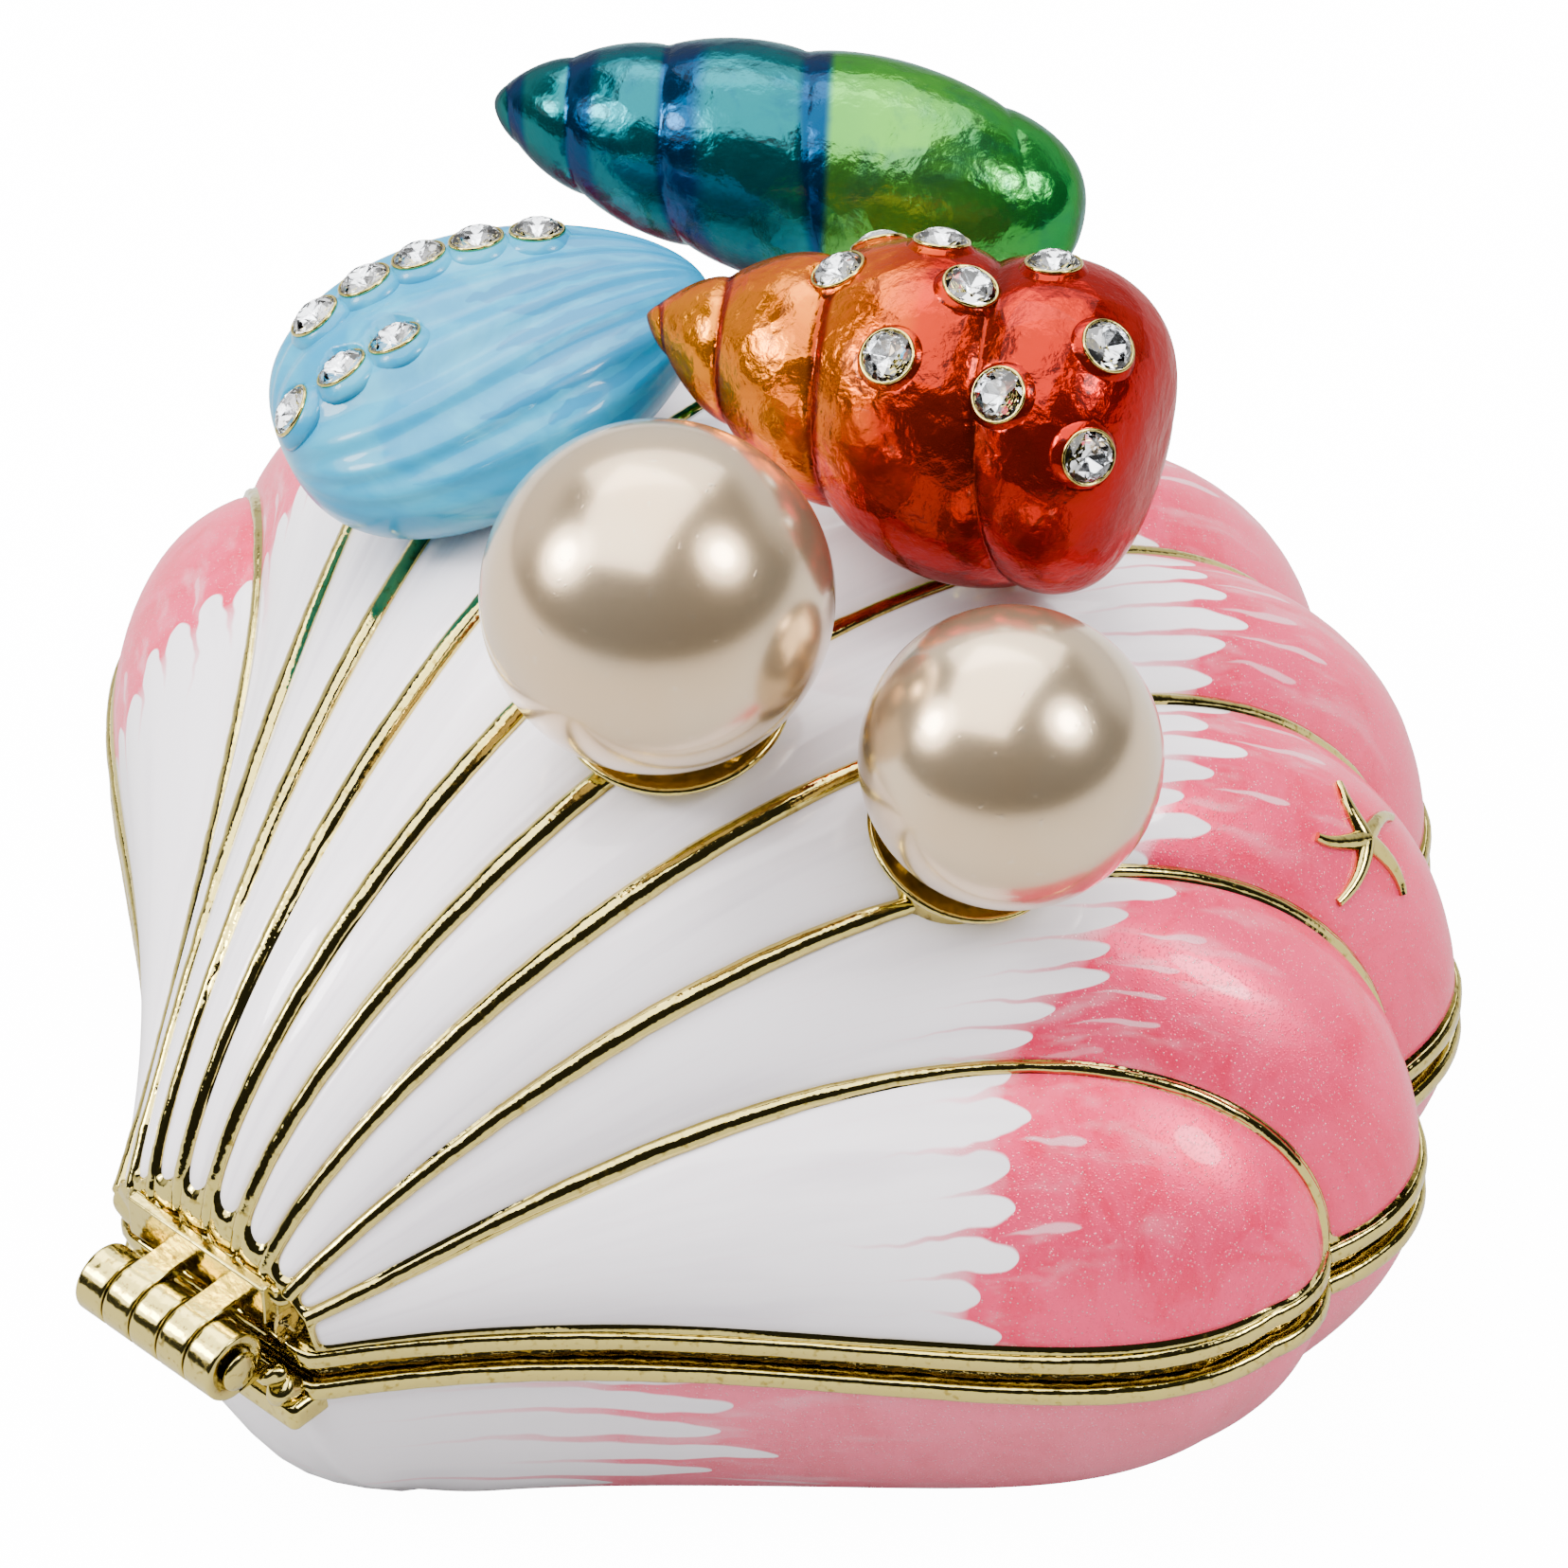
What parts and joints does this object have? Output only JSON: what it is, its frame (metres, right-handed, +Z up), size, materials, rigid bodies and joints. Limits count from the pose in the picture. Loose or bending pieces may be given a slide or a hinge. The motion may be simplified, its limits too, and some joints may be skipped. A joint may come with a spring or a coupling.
{
  "type": "shell box",
  "caption": "Hinged trinket box cast as a fluted scallop with raised ribs and a lobed rim, its lid set with pearls, spiral shells, a cockle and small cut crystals.",
  "frame": {"origin": "centre of the flat underside", "axes": "+Z up, +Y toward the hinge at the back, -Y toward the front edge that opens, +X to the right when the front faces the viewer"},
  "size_m": [0.0666, 0.0646, 0.05],
  "materials": {
    "shell_enamel": "white to pink pearl enamel on cast metal, with polished gold ribs and lips",
    "polished_gold": "polished pale gold plate",
    "pearl": "cream pearl coat",
    "orange_red_enamel": "clear candy enamel over crinkled foil, orange at the spire and red at the foot",
    "teal_green_enamel": "clear candy enamel over crinkled foil, teal at the spire and green at the foot",
    "light_blue_enamel": "glossy light blue enamel with paler streaks",
    "cut_crystal": "clear faceted crystal"
  },
  "bodies": {
    "base": {"base_shell": "shell_enamel", "hinge_leaf_base": "polished_gold", "hinge_pin": "polished_gold"},
    "lid": {"lid_shell": "shell_enamel", "hinge_leaf_lid": "polished_gold", "pearl_large": "pearl", "pearl_small": "pearl", "snail_orange": "orange_red_enamel", "snail_teal": "teal_green_enamel", "cockle_shell": "light_blue_enamel", "crystal_orange_1": "cut_crystal", "crystal_orange_2": "cut_crystal", "crystal_orange_3": "cut_crystal", "crystal_orange_4": "cut_crystal", "crystal_orange_5": "cut_crystal", "crystal_orange_6": "cut_crystal", "crystal_orange_7": "cut_crystal", "crystal_orange_8": "cut_crystal", "crystal_orange_9": "cut_crystal", "crystal_cockle_1": "cut_crystal", "crystal_cockle_2": "cut_crystal", "crystal_cockle_3": "cut_crystal", "crystal_cockle_4": "cut_crystal", "crystal_cockle_5": "cut_crystal", "crystal_cockle_6": "cut_crystal", "crystal_cockle_7": "cut_crystal", "crystal_cockle_8": "cut_crystal"}
  },
  "joints": [
    {"name": "lid_hinge", "type": "hinge", "parent": "base", "child": "lid", "pos_m": [0, 0.03, 0.0147], "axis": [-1, 0, 0], "range_deg": [0, 100]}
  ]
}
